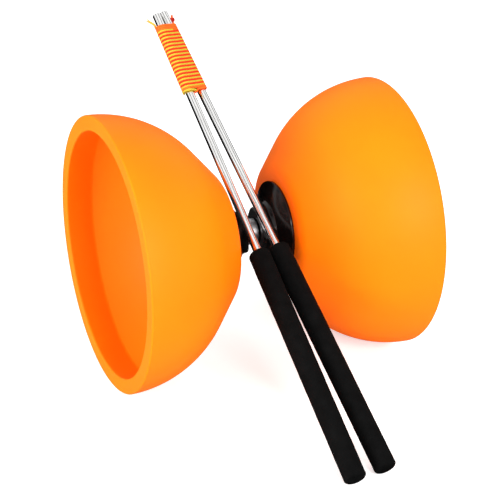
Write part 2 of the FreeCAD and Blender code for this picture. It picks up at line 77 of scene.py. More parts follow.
# ----------------------------------------
# Colours and nodes
# ----------------------------------------
def linear(hex_colour):
    """An sRGB hex colour as linear numbers with full alpha."""
    channels = [int(hex_colour[i:i + 2], 16) / 255 for i in (0, 2, 4)]
    return [c / 12.92 if c <= 0.04045 else ((c + 0.055) / 1.055) ** 2.4
            for c in channels] + [1.0]


def add_node(tree, kind, inputs=None, **settings):
    """Adds one node with its settings; an input is a number or a socket to link from."""
    made = tree.nodes.new(kind)
    for name, setting in settings.items():
        setattr(made, name, setting)
    for name, given in (inputs or {}).items():
        if isinstance(given, bpy.types.NodeSocket):
            tree.links.new(given, made.inputs[name])
        else:
            made.inputs[name].default_value = given
    return made


def set_stops(ramp, stops, interpolation="LINEAR"):
    """Fills a colour ramp with (place, hex colour) stops."""
    ramp.color_ramp.interpolation = interpolation
    elements = ramp.color_ramp.elements
    while len(elements) < len(stops):
        elements.new(1.0)
    for element, (place, hex_colour) in zip(elements, stops):
        element.position = place
        element.color = linear(hex_colour)


def new_material(name):
    """An empty node material and its tree."""
    material = bpy.data.materials.new(name)
    material.use_nodes = True
    material.node_tree.nodes.clear()
    return material, material.node_tree


def finish_material(tree, shader):
    """Gives a material its principled shader."""
    add_node(tree, "ShaderNodeOutputMaterial", {"Surface": shader.outputs["BSDF"]})


# ----------------------------------------
# Materials
# ----------------------------------------
def make_cup_material():
    """Injection-moulded flexible PVC: soft satin skin, a little light soaks in, tiny flecks."""
    material, tree = new_material("orange_moulded_pvc")
    place = add_node(tree, "ShaderNodeTexCoord").outputs["Object"]
    cloud = add_node(tree, "ShaderNodeTexNoise",
                     {"Vector": place, "Scale": 18.0, "Detail": 3.0, "Roughness": 0.5})
    tint = add_node(tree, "ShaderNodeValToRGB", {"Fac": cloud.outputs["Fac"]})
    set_stops(tint, [(0.3, "FF7000"), (0.7, "FF7601")])
    # dust flecks in the skin, a millimetre across at most and only a few to a cup
    cells = add_node(tree, "ShaderNodeTexVoronoi", {"Vector": place, "Scale": 42.0})
    fleck = add_node(tree, "ShaderNodeMapRange",
                     {"Value": cells.outputs["Distance"], "From Min": 0.014, "From Max": 0.024,
                      "To Min": 0.75, "To Max": 0.0})
    colour = add_node(tree, "ShaderNodeMix", {0: fleck.outputs["Result"],
                                              6: tint.outputs["Color"],
                                              7: linear("8A3C04")}, data_type="RGBA")
    # spark-eroded mould texture, grains of about 0.35 mm, and slow waves in the skin
    grain = add_node(tree, "ShaderNodeTexNoise",
                     {"Vector": place, "Scale": 2800.0, "Detail": 2.0})
    waves = add_node(tree, "ShaderNodeTexNoise",
                     {"Vector": place, "Scale": 45.0, "Detail": 1.0})
    wavy = add_node(tree, "ShaderNodeBump", {"Height": waves.outputs["Fac"],
                                             "Strength": 0.12, "Distance": 1.5 * MM})
    grainy = add_node(tree, "ShaderNodeBump", {"Height": grain.outputs["Fac"],
                                               "Normal": wavy.outputs["Normal"],
                                               "Strength": 0.1, "Distance": 0.05 * MM})
    gloss = add_node(tree, "ShaderNodeMapRange", {"Value": cloud.outputs["Fac"],
                                                  "To Min": 0.50, "To Max": 0.60})
    shader = add_node(tree, "ShaderNodeBsdfPrincipled",
                      {"Base Color": colour.outputs[2], "Roughness": gloss.outputs["Result"],
                       "IOR": 1.47, "Specular IOR Level": 0.12,
                       "Normal": grainy.outputs["Normal"],
                       "Subsurface Weight": 0.12, "Subsurface Radius": (1.0, 0.35, 0.05),
                       "Subsurface Scale": 3.0 * MM})
    finish_material(tree, shader)
    return material


def make_hub_material():
    """Injection-moulded black ABS with a polished skin and fine handling scuffs."""
    material, tree = new_material("black_gloss_abs")
    place = add_node(tree, "ShaderNodeTexCoord").outputs["Object"]
    scuffs = add_node(tree, "ShaderNodeTexNoise",
                      {"Vector": place, "Scale": 420.0, "Detail": 4.0, "Roughness": 0.6})
    gloss = add_node(tree, "ShaderNodeMapRange",
                     {"Value": scuffs.outputs["Fac"], "From Min": 0.35, "From Max": 0.7,
                      "To Min": 0.13, "To Max": 0.27})
    flow = add_node(tree, "ShaderNodeTexNoise",
                    {"Vector": place, "Scale": 90.0, "Detail": 1.0})
    skin = add_node(tree, "ShaderNodeBump", {"Height": flow.outputs["Fac"],
                                             "Strength": 0.12, "Distance": 0.4 * MM})
    # the black is tinted faintly red-brown, a painted reflection of the orange cups, and its tone
    # varies at random with the flow marks
    tint = add_node(tree, "ShaderNodeValToRGB", {"Fac": flow.outputs["Fac"]})
    set_stops(tint, [(0.3, "080505"), (0.7, "0E0908")])
    shader = add_node(tree, "ShaderNodeBsdfPrincipled",
                      {"Base Color": tint.outputs["Color"], "IOR": 1.54,
                       "Specular IOR Level": 0.3,
                       "Roughness": gloss.outputs["Result"], "Normal": skin.outputs["Normal"]})
    finish_material(tree, shader)
    return material


def make_metal(name, stops, smoothest, roughest, grain, stretch, depth, detail=4.0):
    """A metal whose drawing or turning lines run one way, as the map is stretched."""
    material, tree = new_material(name)
    where = add_node(tree, "ShaderNodeUVMap", uv_map="turned").outputs["UV"]
    lines = add_node(tree, "ShaderNodeMapping", {"Vector": where, "Scale": stretch})
    streaks = add_node(tree, "ShaderNodeTexNoise",
                       {"Vector": lines.outputs["Vector"], "Scale": grain,
                        "Detail": detail, "Roughness": 0.6})
    # the streaks' colours; on the rods the dark olive stop is painted reflection
    tint = add_node(tree, "ShaderNodeValToRGB", {"Fac": streaks.outputs["Fac"]})
    set_stops(tint, stops)
    gloss = add_node(tree, "ShaderNodeMapRange",
                     {"Value": streaks.outputs["Fac"], "From Min": 0.3, "From Max": 0.7,
                      "To Min": roughest, "To Max": smoothest})
    skin = add_node(tree, "ShaderNodeBump", {"Height": streaks.outputs["Fac"],
                                             "Strength": 0.35, "Distance": depth * MM})
    shader = add_node(tree, "ShaderNodeBsdfPrincipled",
                      {"Base Color": tint.outputs["Color"], "Metallic": 1.0,
                       "Roughness": gloss.outputs["Result"], "Normal": skin.outputs["Normal"]})
    finish_material(tree, shader)
    return material


def make_bearing_steel():
    """Ground bearing steel: an even fine grit. The rings have no map, so it reads their space."""
    material, tree = new_material("ground_bearing_steel")
    place = add_node(tree, "ShaderNodeTexCoord").outputs["Object"]
    grit = add_node(tree, "ShaderNodeTexNoise",
                    {"Vector": place, "Scale": 1500.0, "Detail": 3.0})
    tint = add_node(tree, "ShaderNodeValToRGB", {"Fac": grit.outputs["Fac"]})
    set_stops(tint, [(0.3, "9A9A9C"), (0.7, "C9C9CB")])
    gloss = add_node(tree, "ShaderNodeMapRange", {"Value": grit.outputs["Fac"],
                                                  "To Min": 0.16, "To Max": 0.34})
    shader = add_node(tree, "ShaderNodeBsdfPrincipled",
                      {"Base Color": tint.outputs["Color"], "Metallic": 1.0,
                       "Roughness": gloss.outputs["Result"]})
    finish_material(tree, shader)
    return material


def make_nylon(name, light, dark):
    """Moulded nylon: milky, slightly waxy, with faint flow marks."""
    material, tree = new_material(name)
    place = add_node(tree, "ShaderNodeTexCoord").outputs["Object"]
    flow = add_node(tree, "ShaderNodeTexNoise",
                    {"Vector": place, "Scale": 700.0, "Detail": 3.0})
    tint = add_node(tree, "ShaderNodeValToRGB", {"Fac": flow.outputs["Fac"]})
    set_stops(tint, [(0.35, dark), (0.65, light)])
    skin = add_node(tree, "ShaderNodeBump", {"Height": flow.outputs["Fac"],
                                             "Strength": 0.2, "Distance": 0.05 * MM})
    gloss = add_node(tree, "ShaderNodeMapRange", {"Value": flow.outputs["Fac"],
                                                  "To Min": 0.35, "To Max": 0.5})
    shader = add_node(tree, "ShaderNodeBsdfPrincipled",
                      {"Base Color": tint.outputs["Color"], "IOR": 1.53,
                       "Roughness": gloss.outputs["Result"], "Normal": skin.outputs["Normal"]})
    finish_material(tree, shader)
    return material


def make_foam_material():
    """Closed-cell EVA foam, ground to size: matt, with cut cells.

    The cells are drawn at about 0.7 mm, coarser than real ones, so that they show.
    """
    material, tree = new_material("black_eva_foam")
    place = add_node(tree, "ShaderNodeTexCoord").outputs["Object"]
    cells = add_node(tree, "ShaderNodeTexVoronoi", {"Vector": place, "Scale": 1500.0})
    blotch = add_node(tree, "ShaderNodeTexNoise",
                      {"Vector": place, "Scale": 160.0, "Detail": 4.0, "Roughness": 0.6})
    both = add_node(tree, "ShaderNodeMath", {0: cells.outputs["Distance"],
                                             1: blotch.outputs["Fac"]}, operation="ADD")
    tint = add_node(tree, "ShaderNodeValToRGB", {"Fac": blotch.outputs["Fac"]})
    set_stops(tint, [(0.3, "040404"), (0.7, "090909")])
    skin = add_node(tree, "ShaderNodeBump", {"Height": both.outputs["Value"],
                                             "Strength": 0.6, "Distance": 0.25 * MM})
    shader = add_node(tree, "ShaderNodeBsdfPrincipled",
                      {"Base Color": tint.outputs["Color"], "Roughness": 0.92, "IOR": 1.45,
                       "Specular IOR Level": 0.08,
                       "Normal": skin.outputs["Normal"]})
    finish_material(tree, shader)
    return material


# the length of cord in metres that a string's colour stops are shares of: its dyes, and lengths of
# painted highlight and painted shade
COLOUR_STOP_LENGTH = 1.25
PLAITS_ROUND = 4.0
PLAIT_LENGTH = 1.6


def make_string_material(name, stops):
    """Braided polyester: crossing plaits about 0.8 mm apart, with painted shade in the gaps between
    them.
    """
    material, tree = new_material(name)
    where = add_node(tree, "ShaderNodeUVMap", uv_map="turned").outputs["UV"]
    apart = add_node(tree, "ShaderNodeSeparateXYZ", {"Vector": where})
    lengths = add_node(tree, "ShaderNodeMath", {0: apart.outputs["Y"], 1: 1 / COLOUR_STOP_LENGTH},
                       operation="MULTIPLY")
    # colour along the cord: dyed lengths, and lengths of painted highlight and painted shade
    dye_and_painted_light = add_node(tree, "ShaderNodeValToRGB", {"Fac": lengths.outputs["Value"]})
    set_stops(dye_and_painted_light, stops, "CONSTANT")
    weaves = []
    for hand in (1, -1):
        round_it = add_node(tree, "ShaderNodeMath", {0: apart.outputs["X"], 1: PLAITS_ROUND * hand},
                            operation="MULTIPLY")
        along = add_node(tree, "ShaderNodeMath",
                         {0: apart.outputs["Y"], 1: 1 / (PLAIT_LENGTH * MM)},
                         operation="MULTIPLY")
        phase = add_node(tree, "ShaderNodeMath", {0: round_it.outputs["Value"],
                                                  1: along.outputs["Value"]}, operation="ADD")
        turns = add_node(tree, "ShaderNodeMath", {0: phase.outputs["Value"], 1: 2 * math.pi},
                         operation="MULTIPLY")
        weaves.append(add_node(tree, "ShaderNodeMath", {0: turns.outputs["Value"]},
                               operation="SINE"))
    plait = add_node(tree, "ShaderNodeMath", {0: weaves[0].outputs["Value"],
                                              1: weaves[1].outputs["Value"]},
                     operation="MAXIMUM")
    # painted shade: the cord's colour is darkened towards brown in the gaps between plaits
    painted_gap_shade = add_node(tree, "ShaderNodeMapRange",
                   {"Value": plait.outputs["Value"], "From Min": -0.6, "From Max": 0.5,
                    "To Min": 0.35, "To Max": 0.0})
    colour = add_node(tree, "ShaderNodeMix", {0: painted_gap_shade.outputs["Result"], 6: dye_and_painted_light.outputs["Color"],
                                              7: linear("7A2A06")}, data_type="RGBA")
    skin = add_node(tree, "ShaderNodeBump", {"Height": plait.outputs["Value"],
                                             "Strength": 0.5, "Distance": 0.1 * MM})
    shader = add_node(tree, "ShaderNodeBsdfPrincipled",
                      {"Base Color": colour.outputs[2], "Roughness": 0.7, "IOR": 1.55,
                       "Specular IOR Level": 0.2, "Normal": skin.outputs["Normal"]})
    finish_material(tree, shader)
    return material


CUP_PVC = make_cup_material()
HUB_ABS = make_hub_material()
# hard chrome over turned steel: bright, with faint lines that run round it
ROLLER_CHROME = make_metal("polished_chrome_steel", [(0.35, "DADADD"), (0.62, "F0F0F2")],
                           smoothest=0.28, roughest=0.40, grain=900.0,
                           stretch=(0.02, 1.0, 1.0), depth=0.0005)
# drawn aluminium, polished along its length: smooth, with a few broad duller streaks; their dark
# olive grey is painted reflection, bands of the surroundings drawn into the metal's colour
ROD_ALUMINIUM = make_metal("drawn_polished_aluminium",
                           [(0.32, "9A968B"), (0.38, "F0EFED"), (0.6, "FCFCFB")],
                           smoothest=0.10, roughest=0.15, grain=6.0,
                           stretch=(1.0, 0.08, 1.0), depth=0.002, detail=0.0)
# bright zinc over pressed steel: greyer and duller than chrome
ZINC_STEEL = make_metal("bright_zinc_plated_steel", [(0.35, "A3A7AC"), (0.62, "C8CBCE")],
                        smoothest=0.22, roughest=0.38, grain=700.0,
                        stretch=(0.05, 1.0, 1.0), depth=0.02)
BEARING_STEEL = make_bearing_steel()
CAGE_NYLON = make_nylon("moulded_cage_nylon", "E6DFC8", "D4CCB4")
LOCK_NYLON = make_nylon("lock_insert_nylon", "3E6FB8", "315C9E")
GRIP_FOAM = make_foam_material()
# one orange cord in eight lengths: pale end, orange, yellow, orange, yellow, orange, red, orange;
# the yellow lengths are painted highlight on the turns wound down, the red length is painted shade
# on the turns wound up
STRING_STOPS = [(0.0, "FFAA3C"), (0.006, "FF6416"), (0.046, "BCAA2C"), (0.481, "FF6416"),
                (0.4955, "BCAA2C"), (0.5055, "FF6416"), (0.534, "F42A04"), (0.948, "FF6416")]
STRING_BRAID = make_string_material("braided_polyester_cord", STRING_STOPS)
FRAYED_POLYESTER = make_string_material("frayed_polyester_fibre", [(0.0, "FFD9A0")])
# the knot is the same orange cord, drawn dark red all over: painted shade of its tight crossings
KNOT_BRAID = make_string_material("knotted_polyester_cord", [(0.0, "A01204")])


# ----------------------------------------
# Turned shapes: one Geometry Nodes tree spins any profile about the X axis
# ----------------------------------------
# an edge that bends by more than this many degrees is shaded sharp
CREASE_ANGLE = 32
# points nearer than this become one
WELD = 0.002 * MM


def make_turning_tree():
    """Row by row a grid takes its radius and place from a profile, and its columns go round."""
    tree = bpy.data.node_groups.new("turned_shape", "GeometryNodeTree")
    face = tree.interface
    face.new_socket("Geometry", in_out="OUTPUT", socket_type="NodeSocketGeometry")
    face.new_socket("Profile", in_out="INPUT", socket_type="NodeSocketGeometry")
    face.new_socket("Segments", in_out="INPUT", socket_type="NodeSocketInt")
    face.new_socket("Crease Angle", in_out="INPUT", socket_type="NodeSocketFloat")
    face.new_socket("Material", in_out="INPUT", socket_type="NodeSocketMaterial")
    given = add_node(tree, "NodeGroupInput").outputs
    size = add_node(tree, "GeometryNodeAttributeDomainSize", {"Geometry": given["Profile"]})
    columns = add_node(tree, "ShaderNodeMath", {0: given["Segments"], 1: 1.0},
                       operation="ADD").outputs["Value"]
    grid = add_node(tree, "GeometryNodeMeshGrid",
                    {"Vertices X": size.outputs["Point Count"], "Vertices Y": columns})
    index = add_node(tree, "GeometryNodeInputIndex").outputs["Index"]
    ratio = add_node(tree, "ShaderNodeMath", {0: index, 1: columns}, operation="DIVIDE")
    row = add_node(tree, "ShaderNodeMath", {0: ratio.outputs["Value"]}, operation="FLOOR")
    column = add_node(tree, "ShaderNodeMath", {0: index, 1: columns}, operation="MODULO")
    turn = add_node(tree, "ShaderNodeMath", {0: column.outputs["Value"], 1: given["Segments"]},
                    operation="DIVIDE")
    # turning this way round makes the faces point outwards
    angle = add_node(tree, "ShaderNodeMath", {0: turn.outputs["Value"], 1: -2 * math.pi},
                     operation="MULTIPLY")
    sine = add_node(tree, "ShaderNodeMath", {0: angle.outputs["Value"]}, operation="SINE")
    cosine = add_node(tree, "ShaderNodeMath", {0: angle.outputs["Value"]}, operation="COSINE")
    where = add_node(tree, "GeometryNodeInputPosition").outputs["Position"]
    picked = add_node(tree, "GeometryNodeSampleIndex",
                      {"Geometry": given["Profile"], "Index": row.outputs["Value"]},
                      data_type="FLOAT_VECTOR")
    tree.links.new(where, picked.inputs["Value"])
    point = add_node(tree, "ShaderNodeSeparateXYZ", {"Vector": picked.outputs["Value"]})
    y = add_node(tree, "ShaderNodeMath", {0: point.outputs["Y"], 1: cosine.outputs["Value"]},
                 operation="MULTIPLY")
    z = add_node(tree, "ShaderNodeMath", {0: point.outputs["Y"], 1: sine.outputs["Value"]},
                 operation="MULTIPLY")
    spot = add_node(tree, "ShaderNodeCombineXYZ", {"X": point.outputs["X"],
                                                   "Y": y.outputs["Value"],
                                                   "Z": z.outputs["Value"]})
    # the map runs once round the axis and along the profile in metres, kept in its Z
    around = add_node(tree, "ShaderNodeCombineXYZ", {"X": turn.outputs["Value"],
                                                     "Y": point.outputs["Z"]})
    mapped = add_node(tree, "GeometryNodeStoreNamedAttribute",
                      {"Geometry": grid.outputs["Mesh"], "Name": "turned",
                       "Value": around.outputs["Vector"]},
                      data_type="FLOAT2", domain="CORNER")
    spun = add_node(tree, "GeometryNodeSetPosition", {"Geometry": mapped.outputs["Geometry"],
                                                      "Position": spot.outputs["Vector"]})
    closed = add_node(tree, "GeometryNodeMergeByDistance",
                      {"Geometry": spun.outputs["Geometry"], "Distance": WELD})
    bend = add_node(tree, "GeometryNodeInputMeshEdgeAngle")
    soft = add_node(tree, "FunctionNodeCompare",
                    {0: bend.outputs["Unsigned Angle"], 1: given["Crease Angle"]},
                    data_type="FLOAT", operation="LESS_THAN")
    faces = add_node(tree, "GeometryNodeSetShadeSmooth",
                     {"Geometry": closed.outputs["Geometry"], "Shade Smooth": True},
                     domain="FACE")
    creased = add_node(tree, "GeometryNodeSetShadeSmooth",
                       {"Geometry": faces.outputs["Geometry"],
                        "Shade Smooth": soft.outputs["Result"]}, domain="EDGE")
    real = add_node(tree, "GeometryNodeRealizeInstances",
                    {"Geometry": creased.outputs["Geometry"]})
    painted = add_node(tree, "GeometryNodeSetMaterial",
                       {"Geometry": real.outputs["Geometry"], "Material": given["Material"]})
    add_node(tree, "NodeGroupOutput", {"Geometry": painted.outputs["Geometry"]})
    return tree


TURNING = make_turning_tree()


def input_name(tree, name):
    """The identifier of a tree's input, which a modifier's setting goes by."""
    return next(item.identifier for item in tree.interface.items_tree
                if item.name == name and item.in_out == "INPUT")


def linked(name, data):
    """A new object in the scene."""
    made = bpy.data.objects.new(name, data)
    bpy.context.scene.collection.objects.link(made)
    return made


def flatten(made):
    """Swaps an object's modifiers for the plain mesh that they make."""
    seen = made.evaluated_get(bpy.context.evaluated_depsgraph_get())
    mesh = bpy.data.meshes.new_from_object(seen)
    mesh.name = made.name
    made.modifiers.clear()
    made.data = mesh


def rounded(corners, steps=6):
    """Corners (x, radius, round) as points in millimetres, each corner turned by an arc."""
    points = []
    last = len(corners) - 1
    for i, (x, r, fillet) in enumerate(corners):
        here = Vector((x, r))
        if fillet == 0 or i in (0, last):
            points.append(here)
            continue
        back = (Vector(corners[i - 1][:2]) - here).normalized()
        ahead = (Vector(corners[i + 1][:2]) - here).normalized()
        half = back.angle(ahead) / 2
        reach = fillet / math.tan(half)
        middle = here + (back + ahead).normalized() * (fillet / math.sin(half))
        arm = here + back * reach - middle
        sweep = arm.angle_signed(here + ahead * reach - middle)
        for k in range(steps + 1):
            turn = sweep * k / steps
            points.append(middle + Vector((arm.x * math.cos(turn) + arm.y * math.sin(turn),
                                           arm.y * math.cos(turn) - arm.x * math.sin(turn))))
    return points


def arc(centre, radius, first, last, steps):
    """Points on an arc between two angles in radians."""
    turns = [first + (last - first) * k / steps for k in range(steps + 1)]
    return [Vector((centre[0] + radius * math.cos(a), centre[1] + radius * math.sin(a)))
            for a in turns]


def divided(points, longest):
    """Adds points so that no run of a profile is over the longest length."""
    result = [points[0]]
    for start, end in zip(points, points[1:]):
        pieces = max(1, math.ceil((end - start).length / longest))
        result += [start.lerp(end, (k + 1) / pieces) for k in range(pieces)]
    return result


def turned(name, profile, material, segments, place, reshape=None):
    """A closed turned piece from profile points (x, radius) in millimetres.

    The profile runs with the solid on its right, so the faces point outwards. reshape moves
    single points of the finished mesh, and place takes it from the X axis to where it goes.
    """
    mesh = bpy.data.meshes.new(name)
    along = 0.0
    spots = []
    for i, point in enumerate(profile):
        if i:
            along += (point - profile[i - 1]).length
        spots.append(Vector((point.x, point.y, along)) * MM)
    mesh.from_pydata(spots, [], [])
    made = linked(name, mesh)
    modifier = made.modifiers.new("turning", "NODES")
    modifier.node_group = TURNING
    modifier[input_name(TURNING, "Segments")] = segments
    modifier[input_name(TURNING, "Crease Angle")] = math.radians(CREASE_ANGLE)
    modifier[input_name(TURNING, "Material")] = material
    flatten(made)
    if reshape:
        for vertex in made.data.vertices:
            vertex.co = reshape(vertex.co / MM) * MM
        # rows that a flat has pushed together become one
        shape = bmesh.new()
        shape.from_mesh(made.data)
        bmesh.ops.remove_doubles(shape, verts=shape.verts, dist=WELD)
        shape.to_mesh(made.data)
        shape.free()
    made.data.transform(place)
    made.data.update()
    return made


# ----------------------------------------
# Where the pieces go
# ----------------------------------------
def facing(start, direction):
    """Takes the X axis to a line from a point in millimetres along a direction."""
    turn = Vector((1, 0, 0)).rotation_difference(direction)
    moved = turn.to_matrix().to_4x4()
    moved.translation = start * MM
    return moved


CENTRE_MM = SPOOL_CENTRE / MM
SPOOL_SIDES = {
    "left": facing(CENTRE_MM, Vector((-1, 0, 0))),
    "right": facing(CENTRE_MM, Vector((1, 0, 0))),
}
STICK_LENGTH = 294.0
# the middle of each grip's sole, and the way its rod points
STICKS = {
    "left": (Vector((-5.7, -126.9385, 4.1654)), Vector((-0.0059794, 0.8585772, 0.5126494))),
    "right": (Vector((11.3, -123.7402, 4.1633)), Vector((-0.0471696, 0.8573200, 0.5126182))),
}
for foot, direction in STICKS.values():
    direction.normalize()


# ----------------------------------------
# The string: one cord wound down round both rods, folded back and wound up again
# ----------------------------------------
STRING_DIAMETER = 1.25
# how far below the rods' tips the winding starts
WINDING_TOP = 7.8
# two lanes of cord, one down and one up, share each pitch
WINDING_PITCH = 2.5
TURNS_DOWN = 19
# from a rod's axis to the middle of the cord
WRAP_RADIUS = 3.03
# a quadratic spline runs inside its control points, so round the rods they stand further out
STATION_ANGLE = 36
CONTROL_RADIUS = WRAP_RADIUS / math.cos(math.radians(STATION_ANGLE / 2))
# stations of a turn by number, where lanes begin and end
RIGHT_SIDE, RIGHT_FRONT, LEFT_FRONT, LEFT_BACK = 0, 2, 4, 7
STATIONS_PER_TURN = 12
# steps of the cord's line from one control point to the next
STRING_STEPS = 6
# the drawn cord is a shade thinner, because slanting turns come nearer than their pitch says
STRING_EASE = 0.99

winding_axis = (STICKS["left"][1] + STICKS["right"][1]).normalized()
tips_middle = sum((foot + direction * STICK_LENGTH for foot, direction in STICKS.values()),
                  Vector()) / 2


def rods_at(below):
    """Where the rods' axes cross a plane square to the winding, below the tips."""
    point = tips_middle - winding_axis * below
    return [foot + direction * ((point - foot).dot(winding_axis) / direction.dot(winding_axis))
            for foot, direction in STICKS.values()]


def winding_point(below, rod, out, front):
    """A point beside a rod, 0 left, 1 right or 0.5 between, moved sideways and to the front."""
    left, right = rods_at(below)
    across = (right - left).normalized()
    forward = across.cross(winding_axis).normalized()
    return left.lerp(right, rod) + across * out + forward * front


def wrap_stations():
    """One turn round both rods, from the right side over the front.

    Each station is the share of the pitch that it lies down, then a winding_point's rod,
    out and front.
    """
    # degrees round the nearer rod, or None midway between the rods
    angles = [0, 36, 72, None, 108, 144, 180, -144, -108, None, -72, -36]
    # it slants down over the front, creeps up a little beside the left rod, sinks again behind
    shares = [0.0, 0.32, 0.68, 1.0, 1.2, 1.08, 0.8, 0.56, 0.56, 0.64, 0.74, 0.86]
    stations = []
    for number, (angle, share) in enumerate(zip(angles, shares)):
        if angle is None:
            side = 1 if number < STATIONS_PER_TURN / 2 else -1
            stations.append((share, 0.5, 0.0, side * WRAP_RADIUS))
        else:
            turn = math.radians(angle)
            stations.append((share, 1.0 if abs(angle) < 90 else 0.0,
                             CONTROL_RADIUS * math.cos(turn), CONTROL_RADIUS * math.sin(turn)))
    return stations


def string_lane(start, first_station, turns, last_station):
    """Control points of one descending lane, from a station of its first turn to its last."""
    stations = wrap_stations()
    points = []
    for number in range(first_station, turns * len(stations) + last_station + 1):
        turn, k = divmod(number, len(stations))
        share, rod, out, front = stations[k]
        points.append(winding_point(start + WINDING_PITCH * (turn + share), rod, out, front))
    return points


def string_route():
    """Control points of the whole cord, in millimetres, from its pale end to its knotted end."""
    first = WINDING_TOP - STRING_DIAMETER / 2
    down = string_lane(first, LEFT_BACK, TURNS_DOWN, RIGHT_FRONT)
    up = string_lane(first + WINDING_PITCH / 2, RIGHT_SIDE, TURNS_DOWN - 1, LEFT_BACK)
    low = first + WINDING_PITCH * TURNS_DOWN
    # the last turn dips between the rods, then the cord doubles back behind the left one
    tuck = [
        winding_point(low + 1.9, 0.5, 0.78, 2.4),
        winding_point(low + 2.1, 0.5, 0.62, 0.9),
        winding_point(low + 2.3, 0.5, 0.0, -0.4),
        winding_point(low + 2.5, 0.5, -0.62, 0.9),
        winding_point(low + 2.8, 0.5, -0.78, 2.4),
    ]
    round_left = string_lane(first, TURNS_DOWN * STATIONS_PER_TURN + LEFT_FRONT, TURNS_DOWN,
                             LEFT_BACK)
    behind_left = math.radians(240)
    fold = [winding_point(low + below, 0.0, CONTROL_RADIUS * math.cos(behind_left),
                          CONTROL_RADIUS * math.sin(behind_left)) for below in (1.4, 0.15)]
    pale_tail = [
        winding_point(first + 0.3, 0.0, -8.4, 1.5),
        winding_point(first + 0.9, 0.0, -6.9, 1.0),
        winding_point(first + 1.5, 0.0, -5.4, 0.8),
        winding_point(first + 1.9, 0.0, -4.1, 0.2),
        winding_point(first + 1.9, 0.0, -3.3, -0.8),
    ]
    knot_tail = [
        winding_point(first + 0.6, 1.0, 3.2, -0.7),
        winding_point(first - 0.2, 1.0, 3.2, -0.3),
        winding_point(first - 1.3, 1.0, 2.9, 0.7),
        winding_point(first - 2.4, 1.0, 2.5, 1.4),
        winding_point(first - 3.8, 1.0, 2.8, 1.6),
        winding_point(first - 5.2, 1.0, 3.5, 1.5),
    ]
    return pale_tail + down + tuck + round_left + fold + list(reversed(up)) + knot_tail


def spline_points(name, controls, resolution):
    """The points, in metres, of the NURBS line that these control points shape."""
    curve = bpy.data.curves.new(name, "CURVE")
    curve.dimensions = "3D"
    curve.resolution_u = resolution
    spline = curve.splines.new("NURBS")
    spline.points.add(len(controls) - 1)
    for point, control in zip(spline.points, controls):
        point.co = (*control * MM, 1)
    spline.order_u = 3
    spline.use_endpoint_u = True
    holder = linked(name, curve)
    seen = holder.evaluated_get(bpy.context.evaluated_depsgraph_get())
    line = bpy.data.meshes.new_from_object(seen)
    points = [vertex.co.copy() for vertex in line.vertices]
    bpy.data.objects.remove(holder)
    bpy.data.meshes.remove(line)
    return points


def cord_tube(name, points, radii, sides, material):
    """A closed tube along points in metres, mapped round and along its length."""
    count = len(points)
    tangents = [(points[min(i + 1, count - 1)] - points[max(i - 1, 0)]).normalized()
                for i in range(count)]
    side = tangents[0].orthogonal().normalized()
    spots = []
    for point, tangent, radius in zip(points, tangents, radii):
        side = (side - tangent * side.dot(tangent)).normalized()
        up = tangent.cross(side)
        for k in range(sides):
            turn = 2 * math.pi * k / sides
            spots.append(point + (side * math.cos(turn) + up * math.sin(turn)) * radius)
    faces = [(i * sides + k, i * sides + (k + 1) % sides,
              (i + 1) * sides + (k + 1) % sides, (i + 1) * sides + k)
             for i in range(count - 1) for k in range(sides)]
    faces.append(tuple(reversed(range(sides))))
    faces.append(tuple((count - 1) * sides + k for k in range(sides)))
    mesh = bpy.data.meshes.new(name)
    mesh.from_pydata(spots, [], faces)
    along = [0.0]
    for start, end in zip(points, points[1:]):
        along.append(along[-1] + (end - start).length)
    layer = mesh.uv_layers.new(name="turned")
    for face in mesh.polygons:
        wraps = max(face.vertices) % sides == sides - 1 and min(face.vertices) % sides == 0
        for corner in face.loop_indices:
            ring, k = divmod(mesh.loops[corner].vertex_index, sides)
            around = 1.0 if wraps and k == 0 and len(face.vertices) == 4 else k / sides
            layer.data[corner].uv = (around, along[ring])
    mesh.shade_smooth()
    mesh.materials.append(material)
    return linked(name, mesh)


string_line = spline_points("string_line", string_route(), STRING_STEPS)
string_radius = STRING_DIAMETER / 2 * MM * STRING_EASE
string = cord_tube("wound_string", string_line, [string_radius] * len(string_line),
                   sides=8, material=STRING_BRAID)


def make_knot():
    """An overhand knot pulled small, drawn as a trefoil of the same cord stretched thinner."""
    centre = winding_point(WINDING_TOP - 2.8, 1.0, 2.6, 1.4)
    across = winding_point(0, 1.0, 1, 0) - winding_point(0, 1.0, 0, 0)
    forward = winding_point(0, 1.0, 0, 1) - winding_point(0, 1.0, 0, 0)
    unit_width, unit_height, unit_depth = 0.42, 0.36, 0.42
    points = []
    steps = 72
    for k in range(steps + 1):
        turn = 2 * math.pi * k / steps
        wide = math.sin(turn) + 2 * math.sin(2 * turn)
        tall = math.cos(turn) - 2 * math.cos(2 * turn)
        deep = -math.sin(3 * turn)
        points.append((centre + across * wide * unit_width + winding_axis * tall * unit_height
                       + forward * deep * unit_depth) * MM)
    return cord_tube("string_knot", points, [0.5 * MM] * len(points), sides=10,
                     material=KNOT_BRAID)


